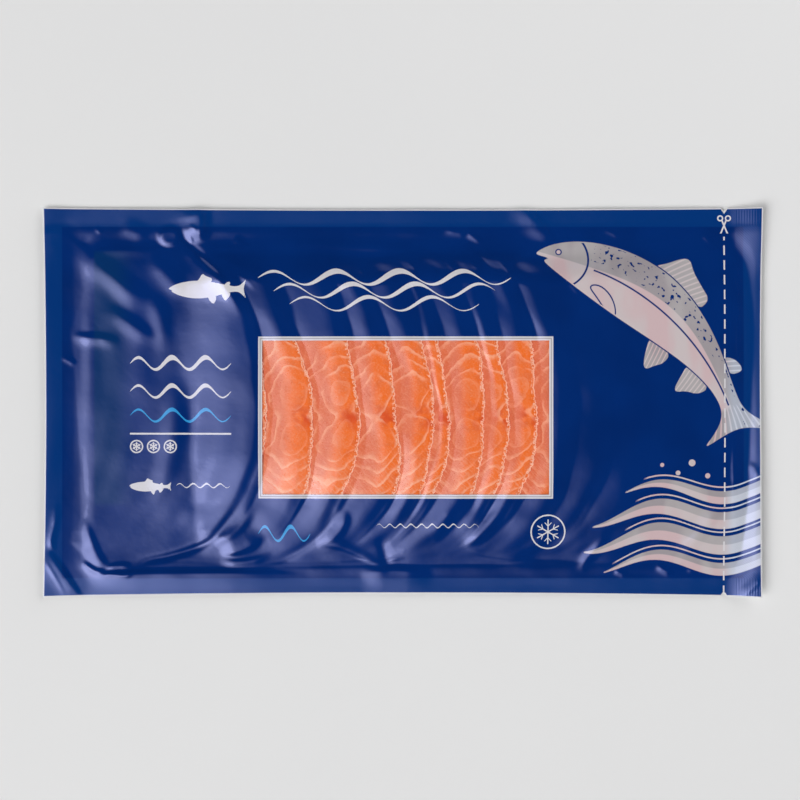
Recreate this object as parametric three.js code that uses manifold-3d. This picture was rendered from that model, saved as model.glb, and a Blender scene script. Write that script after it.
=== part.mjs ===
// A sealed pouch of sliced smoked salmon, lying on its back with the printed face up.
// Millimetres. X runs along the pouch, Y across it, Z up from the surface that it lies on.
// The pouch is one closed body, with a pocket under the clear window where the slices show.
import * as THREE from "three";
import { mergeVertices } from "three/addons/utils/BufferGeometryUtils.js";
import Module from "manifold-3d";

const wasm = await Module();
wasm.setup();

// Pouch
const LENGTH = 360;
const WIDTH = 195;
const SEAM = 0.8; // both films where they are sealed, drawn stiff
const FILM = 0.2; // over the board and the slices
const NICK = { x: 161, width: 3.2, depth: 2.4 }; // where the tear starts, at both long edges

// The board inside it, which the films are drawn round
const BOARD = { left: -154, right: 165, bottom: -82, top: 76, corner: 8, thickness: 1.6 };

// How far the sealed rims stand off the surface
const RIM = { lift: 1.5, top: 1.9, right: 3.9, wave: 0.35, slope: 14 };

// The fan of slices on the board: each lies on the one to its right
const FAN = { left: -139, right: 165, middle: -1, half: 79, height: 10 };
const FALL = { left: 90, right: 60, side: 18 }; // over which the fan thins out at its ends and sides
const SLICE = { thickness: 2.2, gap: 0.3, bow: 57, reach: 80, lean: 0.05, turn: 55, span: 3 };
const EDGES = [-152, -110, -68, -45, -22, -3, 15, 23, 41, 52, 67, 85, 103, 121, 139, 157];
const FIRST_SHOWN = 2; // the first edge that reaches the window
const SHOWN = 10;
const FOOT = 3; // the film comes down from one slice to the next over this

const WINDOW = { left: -69.8, right: 72.8, bottom: -45.8, top: 30.8 };

const STEP = SLICE.thickness + SLICE.gap;
const clamp = THREE.MathUtils.clamp;
const smooth = THREE.MathUtils.smoothstep;
const mix = THREE.MathUtils.lerp;

// 0 at the rim of a mound and 1 from a width inside it, round at the top.
const rise = (inside, width) => 1 - (1 - clamp(inside / width, 0, 1)) ** 2;

// How far a slice's edge falls back from its foremost point: a half ellipse across the pouch that
// leans a little, and leans the other way past its turn.
function bow(y) {
  const off = clamp(y - FAN.middle, -0.93 * SLICE.reach, 0.93 * SLICE.reach);
  const round = SLICE.bow * (1 - Math.sqrt(1 - (off / SLICE.reach) ** 2));
  return round + SLICE.lean * off * (1 - (off / SLICE.turn) ** 2);
}

// Slices are not cut quite straight. Rank 3.5 is half way from edge 3 to edge 4.
const wobble = (rank, y) => 0.8 * Math.sin(y / 11 + 2.3 * rank) + 0.25 * Math.sin(y / 3.7 + 4.1 * rank);

// The place along the pouch of a rank: steep after an edge and level before the next.
function along(rank, y) {
  const from = Math.min(Math.floor(rank), EDGES.length - 2);
  const part = 1 - Math.sqrt(Math.max(0, 1 - (rank - from)));
  return mix(EDGES[from], EDGES[from + 1], part) - bow(y) + wobble(rank, y);
}

// The height that the slices' edges reach.
function crest(x, y) {
  const ends = rise(x - FAN.left, FALL.left) * rise(FAN.right - x - bow(y), FALL.right);
  const sides = rise(FAN.half - Math.abs(y - FAN.middle), FALL.side);
  return BOARD.thickness + FAN.height * ends * sides;
}

// How far the film dips between two edges.
function dip(x, y) {
  const flat = x + bow(y);
  const from = EDGES.findLastIndex((edge) => edge <= flat);
  if (from < 0 || from > EDGES.length - 2) return 0;
  const past = flat - EDGES[from];
  const part = past / (EDGES[from + 1] - EDGES[from]);
  return STEP * (1 - part) ** 2 * smooth(past, 0, FOOT);
}

// Distance outside the board, which has round corners.
function outside(x, y) {
  const dx = Math.max(BOARD.left + BOARD.corner - x, x - BOARD.right + BOARD.corner, 0);
  const dy = Math.max(BOARD.bottom + BOARD.corner - y, y - BOARD.top + BOARD.corner, 0);
  return Math.hypot(dx, dy) - BOARD.corner;
}

// The sealed rim's height: it stands up most at the right end, and it is a little wavy.
function rim(x, y) {
  const top = RIM.top * smooth(y, BOARD.top - 5, WIDTH / 2);
  const right = RIM.right * smooth(x, BOARD.right - 15, LENGTH / 2) * (1 - (0.5 * y) / WIDTH);
  return RIM.lift + top + right + RIM.wave * (Math.sin(x / 17 + 1) + Math.sin(y / 13));
}

const away = (x, y) => smooth(outside(x, y), 0, RIM.slope);

function underside(x, y) {
  return away(x, y) * (rim(x, y) - SEAM / 2);
}

// The larger of two heights, rounded where they meet.
function blended(a, b, round) {
  const share = clamp(0.5 + (0.5 * (a - b)) / round, 0, 1);
  return mix(b, a, share) + round * share * (1 - share);
}

function upperside(x, y) {
  const flat = mix(BOARD.thickness + FILM, rim(x, y) + SEAM / 2, away(x, y));
  const full = Math.min((2 * (crest(x, y) - BOARD.thickness)) / FAN.height, 1);
  return blended(crest(x, y) - full * dip(x, y) + FILM, flat, 1.5);
}

// A closed body between two heights over one grid. place(column, row) gives [x, y, top, bottom].
function slab(columns, rows, place) {
  const points = { top: [], bottom: [] };
  for (const column of columns)
    for (const row of rows) {
      const [x, y, top, bottom] = place(column, row);
      points.top.push(x, y, top);
      points.bottom.push(x, y, bottom);
    }
  const deep = rows.length;
  const under = columns.length * deep;
  const faces = [];
  const quad = (a, b, c, d) => faces.push(a, b, c, a, c, d);
  for (let i = 0; i + 1 < columns.length; i++)
    for (let k = 0; k + 1 < deep; k++) {
      const at = i * deep + k;
      quad(at, at + deep, at + deep + 1, at + 1);
      quad(under + at, under + at + 1, under + at + deep + 1, under + at + deep);
    }
  const wall = (a, b) => quad(a, under + a, under + b, b);
  for (let i = 0; i + 1 < columns.length; i++) {
    wall(i * deep, (i + 1) * deep);
    wall((i + 2) * deep - 1, (i + 1) * deep - 1);
  }
  for (let k = 0; k + 1 < deep; k++) {
    wall(k + 1, k);
    wall(under - deep + k, under - deep + k + 1);
  }
  const made = new THREE.BufferGeometry();
  made.setAttribute("position", new THREE.Float32BufferAttribute([...points.top, ...points.bottom], 3));
  made.setIndex(faces);
  return made;
}

function solid(geometry) {
  const bare = geometry.clone();
  bare.deleteAttribute("normal");
  bare.deleteAttribute("uv");
  const merged = mergeVertices(bare, 1e-4);
  return new wasm.Manifold(
    new wasm.Mesh({
      numProp: 3,
      vertProperties: merged.attributes.position.array,
      triVerts: new Uint32Array(merged.index.array),
    }),
  );
}

function geometryOf(body) {
  const { vertProperties, triVerts } = body.getMesh();
  const made = new THREE.BufferGeometry();
  made.setAttribute("position", new THREE.BufferAttribute(vertProperties, 3));
  made.setIndex(new THREE.BufferAttribute(triVerts, 1));
  made.computeVertexNormals();
  return made;
}

// A block over the window from a height up, smaller all round by a gap.
function block(base, gap) {
  const height = 30;
  const made = new THREE.BoxGeometry(
    WINDOW.right - WINDOW.left - 2 * gap,
    WINDOW.top - WINDOW.bottom - 2 * gap,
    height,
  );
  made.translate((WINDOW.left + WINDOW.right) / 2, (WINDOW.bottom + WINDOW.top) / 2, base + height / 2);
  return solid(made);
}

// A wedge at the top edge, and a round bite at the bottom one.
function nick(y, sides) {
  const cutter = new THREE.CylinderGeometry(NICK.width / 2, NICK.width / 2, 40, sides);
  cutter.rotateX(Math.PI / 2);
  cutter.rotateZ(y > 0 ? Math.PI : 0);
  cutter.scale(1, (2 * NICK.depth) / NICK.width, 1);
  cutter.translate(NICK.x, y, 0);
  return solid(cutter);
}

const between = (from, to, count) => Array.from({ length: count + 1 }, (_, i) => mix(from, to, i / count));

// Columns bend with the slices' edges over the fan, and are straight at both ends of the pouch.
function pouch() {
  const start = -LENGTH / 2;
  const left = [start, start + 10, BOARD.left, BOARD.left + 5];
  const right = [BOARD.right, BOARD.right + 7, LENGTH / 2];
  const fan = EDGES.slice(1).flatMap((edge, i) => [(edge + EDGES[i]) / 2 + 1, edge, edge + FOOT]);
  const columns = [...left, -138, ...fan, ...right];
  const low = [-WIDTH / 2, -WIDTH / 2 + 9, BOARD.bottom];
  const high = [BOARD.top, BOARD.top + 5, WIDTH / 2 - 10, WIDTH / 2];
  const rows = [...low, ...between(-78, 74, 19), ...high];
  const body = slab(columns, rows, (column, row) => {
    const bent = smooth(column, -LENGTH / 2, EDGES[1]) * (1 - smooth(column, EDGES.at(-1), LENGTH / 2));
    const x = column - bow(row) * bent;
    return [x, row, upperside(x, row), underside(x, row)];
  });
  return solid(body)
    .subtract(block(BOARD.thickness, 0))
    .subtract(nick(WIDTH / 2, 3))
    .subtract(nick(-WIDTH / 2, 12));
}

// One slice: it comes up from the board under its neighbours and ends at its own edge.
function slice(edge) {
  const from = Math.max(edge - SLICE.span, 0);
  const columns = between(from, edge, 3 * (edge - from));
  const rows = between(WINDOW.bottom - 2, WINDOW.top + 2, 9);
  const body = slab(columns, rows, (rank, y) => {
    const x = along(rank, y);
    const top = crest(x, y) + STEP * (rank - edge);
    return [x, y, top, top - SLICE.thickness];
  });
  return solid(body).intersect(block(BOARD.thickness + SLICE.gap, SLICE.gap));
}

const printed = new THREE.MeshStandardMaterial({ color: 0x0a3c70, roughness: 0.35, metalness: 0 });
const salmon = new THREE.MeshStandardMaterial({ color: 0xe8743f, roughness: 0.4, metalness: 0 });

function piece(name, body, material) {
  const mesh = new THREE.Mesh(geometryOf(body), material);
  mesh.name = name;
  return mesh;
}

const pack = new THREE.Group();
pack.add(piece("pouch", pouch(), printed));
for (let i = 0; i < SHOWN; i++)
  pack.add(piece("slice_" + String(i + 1).padStart(2, "0"), slice(FIRST_SHOWN + i), salmon));

export default pack;
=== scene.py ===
"""A sealed pouch of sliced smoked salmon, lying with its printed face up.

The printed film, the clear film over the window, the white film underneath and the slices that show
are surfaces worked out on grids. X runs along the pouch, Y across it and Z up. Lengths are in
millimetres until a mesh is made.
"""

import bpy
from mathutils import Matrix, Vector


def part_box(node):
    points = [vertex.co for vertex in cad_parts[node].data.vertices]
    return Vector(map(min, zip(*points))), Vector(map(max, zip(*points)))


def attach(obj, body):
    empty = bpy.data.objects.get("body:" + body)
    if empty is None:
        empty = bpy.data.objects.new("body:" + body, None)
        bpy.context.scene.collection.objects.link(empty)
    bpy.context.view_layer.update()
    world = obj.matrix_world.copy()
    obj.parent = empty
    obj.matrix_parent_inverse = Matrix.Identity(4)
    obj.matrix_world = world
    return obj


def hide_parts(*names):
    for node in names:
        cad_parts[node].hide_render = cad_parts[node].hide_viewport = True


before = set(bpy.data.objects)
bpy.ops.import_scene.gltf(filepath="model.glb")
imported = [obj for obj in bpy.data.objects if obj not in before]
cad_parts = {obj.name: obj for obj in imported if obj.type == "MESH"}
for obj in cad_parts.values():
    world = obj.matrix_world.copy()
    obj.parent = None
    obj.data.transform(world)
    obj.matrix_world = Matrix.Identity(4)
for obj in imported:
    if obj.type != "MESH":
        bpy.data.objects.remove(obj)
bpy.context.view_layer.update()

from functools import partialmethod, reduce
from types import SimpleNamespace as Sizes

import bpy
import numpy as np
from mathutils import Vector

MM = 0.001

# ---------------- sizes

HALF = Sizes(x=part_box("pouch")[1].x / MM, y=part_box("pouch")[1].y / MM)
SHOWN = sorted(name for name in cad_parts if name.startswith("slice_"))
FIRST_SHOWN = 2  # the first edge that reaches the window
GAP = 0.3  # between the slices and the pocket's walls
LOW, HIGH = (np.array([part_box(name)[end] for name in SHOWN]) / MM for end in (0, 1))
WINDOW = Sizes(left=LOW[:, 0].min() - GAP, right=HIGH[:, 0].max() + GAP)
WINDOW.bottom, WINDOW.top = LOW[:, 1].min() - GAP, HIGH[:, 1].max() + GAP
WINDOW.x, WINDOW.y = (WINDOW.left + WINDOW.right) / 2, (WINDOW.bottom + WINDOW.top) / 2
WINDOW.half_x, WINDOW.half_y = WINDOW.right - WINDOW.x, WINDOW.top - WINDOW.y

FILM = 0.2  # over the board and the slices
SEAM = 0.3  # both films where they are sealed
BOARD = Sizes(left=-155, right=165, bottom=-82, top=76, corner=8, thickness=1.6)
SLOPE = 12  # over which the films run from the board to the rim
FAN = Sizes(right=165, middle=-1, half=79, height=10)
# Over how much the fan falls at its right end and its sides, and the film at the bare board's sides
FALL = Sizes(right=60, top=19, bottom=58, low_left=62, board=50)
# The climb from the board on to the first slice: how far short of its edge it ends, its least run,
# the power of its curve, and which share of the fan's height it reaches, less towards the bottom
CLIMB = Sizes(short=4, least=8, power=1.7, share=0.63, less=0.2)
SLICE = Sizes(thickness=0.8, gap=0.15, bow=46, reach=80, lean=0.07, turn=55, span=3)
EDGES = np.array([-152, -113, -67, -45, -22, -3, 15, 23, 41, 52, 67, 85, 103, 121, 139, 157.0])
STEP = SLICE.thickness + SLICE.gap
THIN = Sizes(by=0.5, droop=0.12, over=2.5)  # a slice thins and droops towards its edge
UNDERLAP = Sizes(film=0.8, slices=1.5, below=0.03)  # what shows runs on under the printed frame
# The film between two edges: how deep it dips, how much of that comes before an edge and over how
# much, over how much it comes down after it, and at which share of the way it is level again
DRAWN = Sizes(deep=1.4, before=0.55, over=6.5, foot=3.0, level=0.58)
DRAWN_IN = Sizes(bottom=1.9, top=0.9, left=1.1, right=1.0)  # the pouch's edges, half way along
NICK = Sizes(x=161, half=1.6, depth=2.4)
# The sealed bands: their width, the right one's, how soft they begin, and the pitches pressed in them
SEAL = Sizes(width=9.6, right=13.7, soft=0.6, grid=0.9, ribs=1.3, hatch=1.25)

# ---------------- shapes as functions of the place


def smooth(low, high, x):
    """0 below low, 1 above high, and a smooth ramp between."""
    t = np.clip((x - low) / (high - low), 0, 1)
    return t * t * (3 - 2 * t)


def mix(a, b, share):
    return a + (b - a) * share


def rise(inside, width):
    """0 at the rim of a mound and 1 from a width inside it, round at the top."""
    return 1 - (1 - np.clip(inside / width, 0, 1)) ** 2


def bow(y):
    """How far a slice's edge falls back from its foremost point: a half ellipse that leans a little."""
    off = np.clip(y - FAN.middle, -0.93 * SLICE.reach, 0.93 * SLICE.reach)
    curve = SLICE.bow * (1 - np.sqrt(1 - (off / SLICE.reach) ** 2))
    return curve + SLICE.lean * off * (1 - (off / SLICE.turn) ** 2)


# How much further than that the edges from the first shown on fall back, 45 mm from the middle
LOW_BOW = np.array([4.5, -2.7, 0.2, -4.8, -0.8, 0.3, 0.5, -1.5, 2.1, 0])
HIGH_BOW = np.array([0, 3.6, -0.6, 0.9, -0.1, -0.1, -1.0, -1.0, -2.9, 0])


def wobble(rank, y):
    """Slices aren't cut alike: each falls back by its own amount below and above the middle, and two
    sine waves change with its rank."""
    listed = FIRST_SHOWN + np.arange(len(LOW_BOW))
    more = np.where(y < FAN.middle, np.interp(rank, listed, LOW_BOW), np.interp(rank, listed, HIGH_BOW))
    more *= smooth(0, 45, np.abs(y - FAN.middle))
    return 0.8 * np.sin(y / 11 + 2.3 * rank) + 0.25 * np.sin(y / 3.7 + 4.1 * rank) - more


def along(rank, y):
    """The place along the pouch of a rank: steep after an edge and level before the next."""
    start = np.clip(np.floor(rank).astype(int), 0, len(EDGES) - 2)
    part = 1 - np.sqrt(np.clip(1 - (rank - start), 0, 1))
    return mix(EDGES[start], EDGES[start + 1], part) - bow(y) + wobble(rank, y)


# The line where the fish begins at the left
START_Y = np.array([-82, -74, -66, -58, -50, -40, -28, 30, 50, 62, 72, 80])
START_X = np.array([-103, -103, -103, -103.5, -104, -105, -105.6, -105.6, -105.6, -107, -110, -114])


def bend(x, at, soft):
    """A level line that turns into a rising one of slope 1: the soft maximum of 0 and x - at."""
    return soft * np.logaddexp(0, (x - at) / soft)


# The film over the bare board: the slope that each bend adds, its place and its softness
BARE_BENDS = [(0.025, -154, 1), (0.04, -141, 3), (-0.04, -119, 2)]
BARE_MOST = 4


def crest(x, y):
    """The height that the slices' edges reach. At the left the film climbs a little over the bare
    board and then steeply on to the first slice. The fan falls round at its right end and along the
    bottom, and on a smooth ramp along the top."""
    from_side = FAN.half - np.abs(y - FAN.middle)
    over_board = sum(slope * bend(x, at, soft) for slope, at, soft in BARE_BENDS)
    over_board = np.minimum(over_board, BARE_MOST) * rise(from_side, FALL.board)
    start = np.interp(y, START_Y, START_X)
    run = EDGES[FIRST_SHOWN] - bow(y) + wobble(FIRST_SHOWN, y) - CLIMB.short - start
    part = np.clip(bend(x, start, mix(0.8, 4, smooth(-8, 30, y))) / np.maximum(run, CLIMB.least), 0, 1)
    reached = mix(CLIMB.share - CLIMB.less * smooth(-25, -58, y), 1, smooth(-85, -5, x))
    ends = (1 - (1 - part) ** CLIMB.power) * reached * rise(FAN.right - x - bow(y), FALL.right)
    bottom = mix(FALL.bottom, FALL.low_left, smooth(-45, -95, x))
    bottom += 4 * np.sin(x / 17 + 1) + 2.5 * np.sin(x / 7 + 2)
    inside = from_side + 1.0 * np.sin(x / 16) + 0.7 * np.sin(x / 7.1 + 1)
    sides = np.where(y > 0, smooth(0, FALL.top, inside), rise(inside, bottom))
    return BOARD.thickness + mix(over_board * (sides > 0), FAN.height * sides, ends)


def between(flat):
    """The number of the edge before a place, and which share of the way to the next one it is."""
    start = np.clip(np.searchsorted(EDGES, flat, side="right") - 1, 0, len(EDGES) - 2)
    return start, np.clip((flat - EDGES[start]) / (EDGES[start + 1] - EDGES[start]), 0, 1)


def dip(x, y):
    """How far the film dips between two edges. It falls as the slice thins, drops on to the next slice
    over a foot, and rises along a straight slope that levels off past half way to the next edge."""
    flat = x + bow(y)
    for _ in range(2):
        start, part = between(flat)
        flat = x + bow(y) - wobble(start + 1 - (1 - part) ** 2, y)
    start, part = between(flat)
    fall = DRAWN.before * (1 - smooth(0, DRAWN.over, EDGES[start + 1] - flat))
    slope = DRAWN.deep / DRAWN.level * bend(DRAWN.level - part, 0, 0.05)
    rest = mix(DRAWN.before, slope, smooth(0, DRAWN.foot, flat - EDGES[start]))
    rest = np.where(flat < EDGES[FIRST_SHOWN], 0, rest)
    fall = np.where(flat < EDGES[FIRST_SHOWN - 1], 0, fall)
    behind = DRAWN.before * (1 - smooth(0, DRAWN.foot, flat - EDGES[-1]))
    return np.where(flat > EDGES[-1], behind, fall + rest)


def outside(x, y):
    """Distance outside the board, which has round corners."""
    dx = np.maximum(np.maximum(BOARD.left + BOARD.corner - x, x - BOARD.right + BOARD.corner), 0)
    dy = np.maximum(np.maximum(BOARD.bottom + BOARD.corner - y, y - BOARD.top + BOARD.corner), 0)
    return np.hypot(dx, dy) - BOARD.corner


def rim(x, y):
    """The sealed rim's height: it stands up at the right end, it rises a little along the top and falls
    again towards the edge, and it is wavy."""
    top = mix(0.5, -0.1, smooth(84, 90, y)) * smooth(BOARD.top - 2, HALF.y, y)
    stand = 1.7 + 2.4 * smooth(35, -35, y) + 1.6 * smooth(60, 95, y)
    right = stand * smooth(BOARD.right - 4, HALF.x, x)
    left = mix(-0.4, -0.1, smooth(20, 60, y)) * smooth(-150, -160, x) + 0.6 * smooth(-164, -HALF.x, x)
    wave = 0.16 * np.sin(x / 17 + 1) + 0.06 * np.sin(x / 7.3 + 0.6) + 0.15 * np.sin(y / 13)
    return 1.5 + top + right + left + wave * smooth(2, 10, outside(x, y))


# The crease at the foot of the film that is drawn tight over the board's left end
TENT_Y = np.array([-86, -80, -76, -70, -64, -58, -48, -35, -20, 0, 20, 28, 36, 40, 50, 60, 70, 76])
TENT_X = -np.array([
    147, 157, 160, 167, 165, 160, 157.5, 160, 162, 163.3, 164.3, 165.5, 166.5, 165, 161, 158, 155.5, 152
])


def away(x, y):
    """0 on the board and 1 on the rim. At the left the film is drawn tight over the board's end,
    down to a crease, so that it falls evenly there."""
    crease = np.interp(y, TENT_Y, TENT_X)
    tight = np.clip((BOARD.left + 1 - x) / (BOARD.left + 1 - np.minimum(crease, BOARD.left)), 0, 1)
    slack = smooth(0, SLOPE, outside(x, y))
    return mix(slack, tight, smooth(BOARD.left + 14, BOARD.left - 2, x) * smooth(84, 70, np.abs(y + 3)))


def blended(a, b, width):
    """The larger of two heights, rounded where they meet."""
    share = np.clip(0.5 + 0.5 * (a - b) / width, 0, 1)
    return mix(b, a, share) + width * share * (1 - share)


def ripples(x, y, size, seed, waves=12):
    """Even noise from about -1 to 1: a sum of sine waves of about one length in seeded directions."""
    draw = np.random.default_rng(seed)
    total = np.zeros_like(x)
    for _ in range(waves):
        turn, phase = draw.uniform(0, 2 * np.pi, 2)
        pitch = size * draw.uniform(0.7, 1.5) / (2 * np.pi)
        total += np.sin((x * np.cos(turn) + y * np.sin(turn)) / pitch + phase)
    return total * np.sqrt(2 / waves) / 2


def crease(x, y, corners, near_side, far_side, height):
    """A ridge, or a groove where the height is below 0, along a smooth curve through points. Its height
    falls off as a bell curve, with a width of its own on each side, and it fades at both ends. The far
    side is the one towards +X, or towards +Y where the curve runs along X."""
    before = np.vstack([2 * corners[0] - corners[1], corners, 2 * corners[-1] - corners[-2]])
    a, b, c, d = (before[i : len(corners) - 1 + i, None] for i in range(4))
    t = np.linspace(0, 1, 9)[None, :-1, None]
    bent = (2 * b + (c - a) * t + (2 * a - 5 * b + 4 * c - d) * t**2 + (3 * b - a - 3 * c + d) * t**3) / 2
    line = np.vstack([bent.reshape(-1, 2), corners[-1:]])
    run = corners[-1] - corners[0]
    side = 1 if -run[1] + 0.3 * run[0] > 0 else -1
    nearest, place, across = (np.full(x.shape, value) for value in (1e9, 0.0, 0.0))
    for i, (start, end) in enumerate(zip(line[:-1], line[1:])):
        step = end - start
        dx, dy = x - start[0], y - start[1]
        share = np.clip((dx * step[0] + dy * step[1]) / (step @ step), 0, 1)
        gap = np.hypot(dx - share * step[0], dy - share * step[1])
        closer = gap < nearest
        nearest = np.where(closer, gap, nearest)
        place = np.where(closer, (i + share) / (len(line) - 1), place)
        across = np.where(closer, side * (dy * step[0] - dx * step[1]), across)
    width = mix(near_side, far_side, smooth(-0.5, 0.5, np.clip(across, -1, 1)))
    return height * np.exp(-((nearest / width) ** 2)) * smooth(0, 0.35, place) * smooth(1, 0.65, place)


# Creases that the vacuum drew into the film: the widths of the near and the far side, the height, and
# the X and Y of each point in turn
CREASES = [
    # over the empty end of the board
    (6, 4, 1, -163, 79, -153, 69, -143, 61, -133, 54, -125, 49),
    (5, 3, 0.7, -149, 49, -140, 42, -131, 36, -123, 29),
    (5, 4, 0.7, -128, 74, -120, 67, -114, 60, -108, 52),
    (4, 4, 0.4, -126, 56, -121, 42, -119, 24),
    (5, 7, 0.6, -111, 14, -114, -10, -118, -34, -124, -60),
    (3, 1.8, 0.6, -167, 34, -158, 32.5, -150, 32, -141, 30),
    (1.2, 1.2, 0.3, -171, 23, -167, 21, -163, 18.5),
    (3.5, 0.9, 0.3, -155, 70, -152.5, 75, -148, 76.7, -130, 76.7, -108, 76.5),
    # top seal, left
    (1.8, 4, -0.35, -177, 91, -168, 86.5, -160, 80.5, -153, 75.5),
    (4, 4, 0.45, -142, 90, -134, 86, -127, 81),
    (0.9, 0.9, 0.25, -154, 88, -152, 86, -150.5, 85),
    (8, 3, 2.2, -103, 101, -101, 90, -102, 79),
    (0.8, 0.8, 0.3, -107, 88, -104.5, 87.5, -103, 85.5),
    (0.8, 0.8, 0.35, -106.5, 84, -106, 81.5, -105, 79),
    # the deep fold at the top left, and what runs out from it
    (4, 2.2, 1.1, -110, 81, -104, 74, -97, 67, -91, 61, -85, 53, -79, 42),
    (1.5, 2, -0.8, -113, 86, -107, 79.5, -99, 72, -92, 66, -86, 59.5),
    (1.5, 3.5, 0.5, -96, 74, -88, 71, -81, 67, -75, 62.5, -70, 57),
    (1.2, 1.6, 0.3, -92, 69.5, -84, 66, -77, 60.5, -72, 55),
    (3, 1.6, 0.5, -85, 83, -81, 79.5, -75, 76.8),
    (0.9, 0.9, 0.25, -97, 77.6, -88, 77.4, -76, 77),
    # along the top
    (2.5, 2.5, 0.4, -74, 79, -50, 79.5, -25, 78, 0, 76.5, 14, 75),
    (1.2, 1, 0.25, 8, 79, 10, 76.5, 13, 74),
    (2, 1, 0.4, 20, 87, 27, 85.7, 33, 84.5),
    (2.2, 1, 0.5, 32, 86, 36, 83, 42, 78.5),
    (0.8, 0.8, 0.25, 22, 72, 28, 76.5, 31, 79),
    (0.9, 1.2, 0.25, 30, 78, 38, 73, 46, 63),
    (3, 1.5, 0.3, 46, 63, 54, 71, 66, 75.5, 79, 77.5, 90, 80),
    (6, 2.2, 1.1, 52, 99, 62, 95, 69, 88, 74, 82, 76, 77),
    (1, 1, 0.2, 100, 87, 105, 85, 109, 82),
    (0.8, 0.8, 0.15, 81, 62, 85, 57, 88, 53),
    (1.8, 1, 0.3, 108, 76.5, 125, 80, 141, 82.5),
    (1.4, 1, 0.35, 150, 85, 153, 81.5, 156, 78),
    (1, 0.8, 0.3, 151, 78, 155, 76, 158, 78),
    # bottom left
    (2, 1, 0.7, -172.5, -50, -173.5, -60, -175.5, -69, -174.5, -75),
    (6, 0.8, 1.2, -178, -73, -169, -86, -160, -99),
    (1, 0.6, 0.2, -180, -77, -174, -87, -168, -98),
    (3, 1.5, 0.5, -159.5, -57, -156, -68, -151.5, -78, -147, -83),
    (1.8, 1, 0.8, -161, -79, -154, -84, -148, -84.5),
    (1.1, 1, 0.5, -150, -83, -142, -81.7, -135, -82),
    (1.3, 1, 0.5, -155, -87.5, -146, -86, -138, -86.5, -134, -83),
    (8, 1.6, 1.4, -158, -87, -142, -86, -112, -85.5, -78, -85.5, -45, -87),
    (2, 2, -0.5, -78, -44, -82, -52, -88, -60, -95, -68, -104, -73, -117, -77, -128, -79.5, -137, -86),
    (1.3, 2, -0.4, -90, -64, -97, -70, -106, -73.5, -118, -77, -129, -79.5, -138, -85),
    (2.5, 2.5, 0.7, -95, -69, -88, -67.5, -80, -61, -74, -51),
    (6, 2, 1.1, -92, -75, -84, -74.5, -76, -71.5, -69, -65),
    (2.2, 1.6, 0.6, -92, -79, -84, -80, -74, -79, -65, -75),
    # along the bottom
    (2.5, 1.8, -0.5, -32, -49, -35, -57, -41, -66, -50, -73, -62, -79, -75, -82),
    (3.5, 2, 0.7, -29, -52, -29, -60, -34, -67, -44, -71),
    (1.3, 3, 0.6, -43, -70.8, -32, -72, -20, -77, -10, -81.5),
    (2.2, 2.8, -0.4, -12, -66, -9, -76, -7, -87),
    (1.2, 1, 0.35, -16, -83, -8, -79.5, 2, -77),
    (9, 2.5, 1, -22, -86, -4, -84.5, 16, -86),
    (3, 1.8, 0.4, 27, -50, 21, -60, 14, -70),
    (3.5, 2, 0.8, 53, -48, 45, -60, 38, -67, 30, -72),
    (1, 1, 0.2, 31, -72, 40, -76, 55, -78, 72, -80),
    (2.4, 2, 0.8, 88, -85, 92, -78.5, 97, -73, 103, -66),
    (1.6, 1, 0.5, 106, -83.5, 109, -85, 113, -86.5),
    (1.8, 1.2, 0.6, 127, -80.5, 131, -83.5, 136, -86),
    (1, 1, 0.3, 142, -83.5, 145, -84, 148, -83),
    (0.8, 0.8, -0.12, -90, -82.5, -50, -82, 0, -81.2, 50, -81, 95, -81.5),
    # right end
    (2.5, 4, -0.6, 156, -40, 149, -54, 139, -68),
    (9, 3, 1.5, 163, -38, 157, -52, 149, -66, 138, -78),
    (1, 1.6, 0.4, 166, 6, 165, -20, 165.5, -45, 166, -66),
    (1.2, 1.2, -0.4, 165.5, 60, 165.5, 35, 165.5, 8),
    (2, 1.5, 0.4, 173, -29, 176, -34, 178, -38),
    (3.5, 1.5, 0.6, 168, -99, 175, -92, 181, -86),
]
BLISTER = Sizes(x=-116.5, y=83, radius=7, height=0.9)  # a small bubble by the top seam


def creased(x, y):
    """The height of all the creases and of the bubble. A crease is left out beyond its reach."""
    total = np.zeros_like(x)
    for near_side, far_side, height, *path in CREASES:
        corners = np.reshape(path, (-1, 2)).astype(float)
        reach = 3 * max(near_side, far_side)
        low, high = corners.min(0) - reach, corners.max(0) + reach
        close = (x > low[0]) & (x < high[0]) & (y > low[1]) & (y < high[1])
        total[close] += crease(x[close], y[close], corners, near_side, far_side, height)
    off = np.hypot(x - BLISTER.x, (y - BLISTER.y) * 1.2) / BLISTER.radius
    return total + BLISTER.height * (1 - smooth(0.45, 1.05, off))


def inset(u, v):
    """Distance in from the nearest sealed edge of the flat pouch."""
    return np.minimum(HALF.x - np.abs(u), HALF.y - np.abs(v))


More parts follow.
